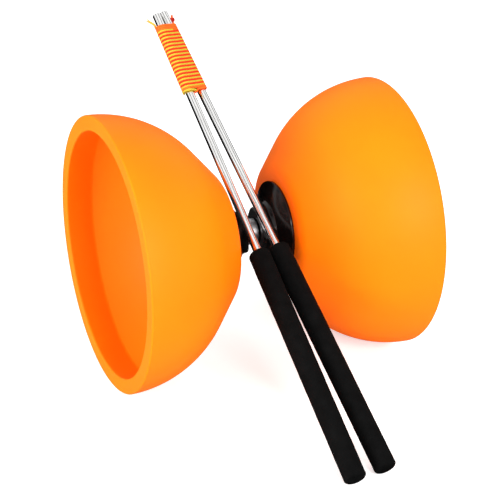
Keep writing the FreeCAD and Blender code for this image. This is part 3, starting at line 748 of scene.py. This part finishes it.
def make_fray():
    """The loose end's fibres, fanned out from the cut cord, each of its own length."""
    start = string_line[0]
    heading = (string_line[0] - string_line[12]).normalized()
    sideways = heading.orthogonal().normalized()
    upright = heading.cross(sideways)
    strands = []
    count = 17
    golden_angle = 2.399
    root_radius = 0.42
    for k in range(count):
        turn = golden_angle * k
        spread = root_radius * math.sqrt((k + 0.5) / count)
        fan = sideways * math.cos(turn) + upright * math.sin(turn)
        # 0.6 to 2.4 mm long, in no order that shows
        reach = 1.5 + 0.9 * math.sin(5.3 * k)
        root = start + fan * spread * MM - heading * 0.5 * MM
        points = [root + (heading * reach * s + fan * (0.9 * spread + 0.5) * reach * s * s) * MM
                  for s in (0.0, 0.25, 0.5, 0.75, 1.0)]
        radii = [r * MM for r in (0.13, 0.13, 0.12, 0.1, 0.05)]
        strands.append(cord_tube(f"fibre_{k}", points, radii, sides=6,
                                 material=FRAYED_POLYESTER))
    tuft = strands[0]
    with bpy.context.temp_override(active_object=tuft, selected_editable_objects=strands):
        bpy.ops.object.join()
    tuft.name = tuft.data.name = "string_frayed_end"
    return tuft


knot = make_knot()
fray = make_fray()

# ----------------------------------------
# Cups
# ----------------------------------------
CUP_WALL = 3.8
# the nose stands on the hub, and its flat ends where its bend begins
NOSE_X, NOSE_BEND, NOSE_FLAT = 15.6, 11.0, 27.0
HALF_LENGTH, BOWL_BEND = 77.0, 61.0
RIM_RADIUS, RIM_WIDTH, LIP_DEPTH, RIM_ROUND = 70.0, 8.0, 14.7, 0.8
CUP_HOLE = 10.0


def cup_profile():
    """Nose, flank and bowl outside; rim, undercut lip and bowl inside."""
    nose = (NOSE_X + NOSE_BEND, NOSE_FLAT)
    bowl = (HALF_LENGTH, RIM_RADIUS - BOWL_BEND)
    apart = Vector(bowl) - Vector(nose)
    normal = (math.acos((NOSE_BEND - BOWL_BEND) / apart.length)
              + math.atan2(apart.y, apart.x))
    lip_angle = math.acos(-LIP_DEPTH / (BOWL_BEND - CUP_WALL))
    outside = (arc(nose, NOSE_BEND, math.pi, normal, 16)
               + arc(bowl, BOWL_BEND, normal, math.pi / 2, 72))
    inside = (arc(bowl, BOWL_BEND - CUP_WALL, lip_angle, normal, 64)
              + arc(nose, NOSE_BEND - CUP_WALL, normal, math.pi, 12))
    rim = rounded([(*outside[-2], 0), (HALF_LENGTH, RIM_RADIUS, RIM_ROUND),
                   (HALF_LENGTH, RIM_RADIUS - RIM_WIDTH, RIM_ROUND), (*inside[0], 0)])[1:-1]
    lip = divided([rim[-1], inside[0]], 1.5)[1:-1]
    hole = [Vector((NOSE_X, CUP_HOLE)), Vector((NOSE_X, NOSE_FLAT))]
    back = [Vector((NOSE_X + CUP_WALL, NOSE_FLAT)), Vector((NOSE_X + CUP_WALL, CUP_HOLE))]
    loop = (divided(hole, 3) + outside[1:-1] + rim + lip + inside[:-1] + divided(back, 3)
            + [hole[0]])
    return loop


# ----------------------------------------
# Hubs
# ----------------------------------------
BORE = 2.04
BOSS_FACE_X, BOSS_FACE_RADIUS = 3.9, 11.7
FLAT_RADIUS, FLAT_END, FLAT_LEDGE = 10.6, 7.775, 0.3


def flatten_boss(point):
    """Six flats on the boss, each ending in a soft ledge on its taper."""
    radius = math.hypot(point.y, point.z)
    if point.x > FLAT_END + FLAT_LEDGE:
        return point
    turn = math.atan2(point.z, point.y)
    off = (turn - math.pi / 2 + math.pi / 6) % (math.pi / 3) - math.pi / 6
    limit = FLAT_RADIUS / math.cos(off)
    if radius <= limit:
        return point
    ease = min(1.0, max(0.0, (FLAT_END + FLAT_LEDGE - point.x) / FLAT_LEDGE))
    share = 1 + (limit / radius - 1) * ease
    return Vector((point.x, point.y * share, point.z * share))


HUB_PROFILE = divided(rounded([
    (BOSS_FACE_X, BORE, 0),
    (BOSS_FACE_X, BOSS_FACE_RADIUS, 0.4),
    (10.15, 15.15, 1.0),
    (14.35, 24.1, 0.35),
    (NOSE_X, 24.1, 0.25),
    (NOSE_X, 9.8, 0.2),
    (22.8, 9.8, 0.5),
    (22.8, BORE, 0.2),
    (BOSS_FACE_X, BORE, 0),
]), longest=0.35)

# ----------------------------------------
# Clamp inside each cup
# ----------------------------------------
NUT_X, NUT_THICKNESS, NUT_FLATS = 23.8, 3.2, 7.0


def flatten_nut(point):
    """Six flats on the nut's body; the chamfered collar is left round."""
    radius = math.hypot(point.y, point.z)
    if radius < NUT_FLATS / 2 or point.x > NUT_X + NUT_THICKNESS + 0.01:
        return point
    turn = math.atan2(point.z, point.y)
    off = (turn + math.pi / 6) % (math.pi / 3) - math.pi / 6
    share = min(1.0, NUT_FLATS / 2 / math.cos(off) / radius)
    return Vector((point.x, point.y * share, point.z * share))


PLATE_PROFILE = divided(rounded([
    (19.4, 10, 0), (19.4, 21, 0.3), (21, 21, 0.5), (21, 17.5, 0.3), (20.6, 17, 0.3),
    (20.6, 13, 0.3), (21, 12.5, 0.3), (21, 10, 0.2), (19.4, 10, 0),
]), longest=0.8)
WASHER_PROFILE = divided(rounded([
    (22.8, BORE, 0), (22.8, 11.25, 0.15), (23.8, 11.25, 0.4), (23.8, BORE, 0.1),
    (22.8, BORE, 0),
]), longest=0.6)
NUT_CORNER = NUT_FLATS / 2 / math.cos(math.pi / 6)
NUT_PROFILE = divided(rounded([
    (NUT_X, BORE, 0), (NUT_X, NUT_CORNER - 0.35, 0.05), (NUT_X + 0.3, NUT_CORNER, 0.05),
    (NUT_X + 2.75, NUT_CORNER, 0.05), (NUT_X + NUT_THICKNESS, 3.35, 0.05),
    (NUT_X + NUT_THICKNESS, 3.1, 0.05), (28.8, 3.1, 0.35), (28.8, 2.7, 0.05),
    (27.6, 2.7, 0.05), (27.6, BORE, 0.05), (NUT_X, BORE, 0),
]), longest=0.25)

# the pieces on both sides: name, CAD node, profile, material, slot, segments, reshape
SPOOL_PIECES = [
    ("moulded_cup", "cup", cup_profile(), CUP_PVC, "cup_plastic", 256, None),
    ("moulded_hub", "hub", HUB_PROFILE, HUB_ABS, "hub_plastic", 288, flatten_boss),
    ("pressed_plate", "clamp_plate", PLATE_PROFILE, HUB_ABS, "hub_plastic", 128, None),
    ("zinc_washer", "washer", WASHER_PROFILE, ZINC_STEEL, "hardware_steel", 96, None),
    ("lock_nut", "nut", NUT_PROFILE, ZINC_STEEL, "hardware_steel", 144, flatten_nut),
]
for label, node, profile, material, slot, segments, reshape in SPOOL_PIECES:
    for side, place in SPOOL_SIDES.items():
        piece = turned(f"{side}_{label}", profile, material, segments=segments,
                       reshape=reshape, place=place)
        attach(piece, "spool")
        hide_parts(f"{side}_{node}")

# ----------------------------------------
# Spindle with rolled threads at both ends, and the roller on its bearings
# ----------------------------------------
SPINDLE_END, SPINDLE_RADIUS, SPINDLE_CHAMFER = 30.3, 2.0, 0.5
THREAD_START, THREAD_PITCH, THREAD_DEPTH = 18.0, 0.7, 0.3


def thread_half():
    """Half of the spindle from its plain middle out: a thread drawn as rings, chamfered end."""
    points = [Vector((THREAD_START, SPINDLE_RADIUS))]
    x = THREAD_START
    while x + THREAD_PITCH < SPINDLE_END - SPINDLE_CHAMFER:
        points.append(Vector((x + THREAD_PITCH / 2, SPINDLE_RADIUS - THREAD_DEPTH)))
        points.append(Vector((x + THREAD_PITCH, SPINDLE_RADIUS)))
        x += THREAD_PITCH
    points.append(Vector((SPINDLE_END, SPINDLE_RADIUS - SPINDLE_CHAMFER)))
    points.append(Vector((SPINDLE_END, 0)))
    return points


right_half = thread_half()
left_half = [Vector((-p.x, p.y)) for p in reversed(right_half)]
spindle = turned("threaded_spindle", left_half + right_half, ZINC_STEEL, segments=64,
                 place=SPOOL_SIDES["right"])
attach(spindle, "spool")
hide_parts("spindle")

ROLLER_HALF, ROLLER_RADIUS, BEARING_SEAT, ROLLER_RIB = 3.5, 6.7, 4.5, 3.8
ROLLER_PROFILE = divided(rounded([
    (-ROLLER_HALF, BEARING_SEAT, 0),
    (-ROLLER_HALF, ROLLER_RADIUS, 0.4),
    (ROLLER_HALF, ROLLER_RADIUS, 0.4),
    (ROLLER_HALF, BEARING_SEAT, 0.1),
    (1.0, BEARING_SEAT, 0),
    (1.0, ROLLER_RIB, 0.1),
    (-1.0, ROLLER_RIB, 0.1),
    (-1.0, BEARING_SEAT, 0),
    (-ROLLER_HALF, BEARING_SEAT, 0),
]), longest=0.5)
roller = turned("chromed_roller", ROLLER_PROFILE, ROLLER_CHROME, segments=160,
                place=SPOOL_SIDES["right"])
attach(roller, "roller")
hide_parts("axle_roller")

# the bearings' pieces and the nuts' inserts keep their CAD shapes
BEARING_FINISH = {
    "inner_race": BEARING_STEEL, "outer_race": BEARING_STEEL, "shield": BEARING_STEEL,
    "balls": BEARING_STEEL, "shim": BEARING_STEEL, "cage": CAGE_NYLON,
    "nut_insert": LOCK_NYLON,
}
finishes = {f"{side}_{part}": material for side in SPOOL_SIDES
            for part, material in BEARING_FINISH.items()}
finishes["bearing_spacer"] = BEARING_STEEL
for name, material in finishes.items():
    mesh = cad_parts[name].data
    mesh.materials.clear()
    mesh.materials.append(material)

# ----------------------------------------
# Hand sticks: polished rods in foam grips
# ----------------------------------------
ROD_RADIUS, GRIP_BORE = 2.25, 2.3
GRIP_RADIUS, GRIP_LENGTH, GRIP_SOLE = 5.5, 131.0, 4.0
# how far a swelling of the foam is from its mean
SWELL_DEPTH = 0.06
ROD_PROFILE = divided(rounded([
    (GRIP_SOLE, 0, 0), (GRIP_SOLE, ROD_RADIUS, 0), (STICK_LENGTH, ROD_RADIUS, 0.45),
    (STICK_LENGTH, 0, 0),
]), longest=4.0)
GRIP_PROFILE = divided(rounded([
    (0, 0, 0), (0, GRIP_RADIUS, 1.5), (GRIP_LENGTH, GRIP_RADIUS, 2.0),
    (GRIP_LENGTH, GRIP_BORE, 0.4), (GRIP_SOLE, GRIP_BORE, 0), (GRIP_SOLE, 0, 0),
], steps=10), longest=1.2)


def foam_swell(shift):
    """Ground foam is never quite round or straight: its skin waves by a tenth of a millimetre."""
    def swell(point):
        radius = math.hypot(point.y, point.z)
        # the bore and the rounded ends stay true
        if radius < 3.0 or point.x < 2 or point.x > GRIP_LENGTH - 3:
            return point
        turn = math.atan2(point.z, point.y)
        # waves of about 20, 8 and 4 mm, whose heights add up to 2.6 at most
        wave = (math.sin(point.x * 0.31 + shift) * math.cos(turn * 2 + shift)
                + math.sin(point.x * 0.83 + turn + 2 * shift)
                + 0.6 * math.sin(point.x * 1.7 - 3 * turn)) / 2.6
        share = 1 - SWELL_DEPTH * (1 + wave) / radius
        return Vector((point.x, point.y * share, point.z * share))
    return swell


for number, (side, (foot, direction)) in enumerate(STICKS.items()):
    place = facing(foot, direction)
    rod = turned(side + "_polished_rod", ROD_PROFILE, ROD_ALUMINIUM, segments=64, place=place)
    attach(rod, "sticks")
    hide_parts(side + "_rod")
    grip = turned(side + "_foam_grip", GRIP_PROFILE, GRIP_FOAM, segments=96,
                  reshape=foam_swell(1.7 * number), place=place)
    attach(grip, "sticks")
    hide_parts(side + "_grip")

for piece in (string, knot, fray):
    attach(piece, "sticks")
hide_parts("string_coil", "left_string_tail", "right_string_tail")


# ----------------------------------------
# Floor, lamps and world
# ----------------------------------------
def make_floor():
    """A pale matt table: seen directly it glows towards white, and it keeps the shadow."""
    mesh = bpy.data.meshes.new("floor")
    reach = 4.0
    mesh.from_pydata([(-reach, -reach, 0), (reach, -reach, 0), (reach, reach, 0),
                      (-reach, reach, 0)], [], [(0, 1, 2, 3)])
    floor = linked("floor", mesh)
    material, tree = new_material("pale_table_paper")
    matt = add_node(tree, "ShaderNodeBsdfDiffuse", {"Color": linear("E6E6E6")})
    path = add_node(tree, "ShaderNodeLightPath").outputs
    strength = add_node(tree, "ShaderNodeMath", {0: path["Is Camera Ray"], 1: 0.5},
                        operation="MULTIPLY")
    glow = add_node(tree, "ShaderNodeEmission", {"Color": linear("FFFFFF"),
                                                 "Strength": strength.outputs["Value"]})
    both = add_node(tree, "ShaderNodeAddShader", {0: matt.outputs["BSDF"],
                                                  1: glow.outputs["Emission"]})
    # polished surfaces see the table as a grey glow that no lamp lights: a painted reflection,
    # which shades their undersides
    card = add_node(tree, "ShaderNodeEmission", {"Color": linear("484848"), "Strength": 1.0})
    table = add_node(tree, "ShaderNodeMixShader", {0: path["Is Glossy Ray"],
                                                   1: both.outputs["Shader"],
                                                   2: card.outputs["Emission"]})
    add_node(tree, "ShaderNodeOutputMaterial", {"Surface": table.outputs["Shader"]})
    mesh.materials.append(material)


def make_world():
    """An even white studio all round, just bright enough to show as pure white."""
    world = bpy.data.worlds.new("studio")
    world.use_nodes = True
    tree = world.node_tree
    tree.nodes.clear()
    sky = add_node(tree, "ShaderNodeBackground", {"Color": linear("FFFFFF"), "Strength": 1.0})
    add_node(tree, "ShaderNodeOutputWorld", {"Surface": sky.outputs["Background"]})
    bpy.context.scene.world = world


def make_lamp(name, place, size, power):
    """A square softbox that faces the spool."""
    lamp = bpy.data.lights.new(name, "AREA")
    lamp.size = size
    lamp.energy = power
    holder = linked(name, lamp)
    holder.location = place
    holder.rotation_mode = "QUATERNION"
    holder.rotation_quaternion = (SPOOL_CENTRE - Vector(place)).to_track_quat("-Z", "Y")


# standing cards: arcs of a ring in degrees, and its radius and height in metres
STANDING_CARDS = [(-105, 65), (95, 140), (165, 215)]
RING_RADIUS, RING_HEIGHT = 0.3, 0.2
# hanging cards, in metres: their left edges, width, reach to front and back, and height
HANGING_CARDS, HANGING_WIDTH, HANGING_REACH, HANGING_HEIGHT = (-0.62, 0.38), 0.2, 1.6, 1.0


def make_cards():
    """Black cards stand round the table and hang over it: only polished surfaces see them."""
    material, tree = new_material("black_card")
    card = add_node(tree, "ShaderNodeEmission", {"Color": linear("0A0A0A"), "Strength": 1.0})
    add_node(tree, "ShaderNodeOutputMaterial", {"Surface": card.outputs["Emission"]})
    spots, faces = [], []
    steps = 12
    for first, last in STANDING_CARDS:
        for k in range(steps):
            ends = [math.radians(first + (last - first) * (k + n) / steps) for n in (0, 1)]
            base = len(spots)
            spots += [(RING_RADIUS * math.sin(a), RING_RADIUS * math.cos(a), z) for a in ends
                      for z in (0.0, RING_HEIGHT)]
            faces.append((base, base + 1, base + 3, base + 2))
    for left in HANGING_CARDS:
        right = left + HANGING_WIDTH
        base = len(spots)
        spots += [(x, y, HANGING_HEIGHT) for x, y in (
            (left, -HANGING_REACH), (right, -HANGING_REACH),
            (right, HANGING_REACH), (left, HANGING_REACH))]
        faces.append((base, base + 1, base + 2, base + 3))
    mesh = bpy.data.meshes.new("black_cards")
    mesh.from_pydata(spots, [], faces)
    mesh.materials.append(material)
    cards = linked("black_cards", mesh)
    cards.visible_camera = False
    cards.visible_diffuse = False
    cards.visible_shadow = False


make_floor()
make_world()
make_cards()
make_lamp("key_softbox", (0.05, -1.2, 0.6), size=0.5, power=18.0)
make_lamp("side_softbox", (-1.3, -0.15, 0.35), size=0.5, power=17.0)
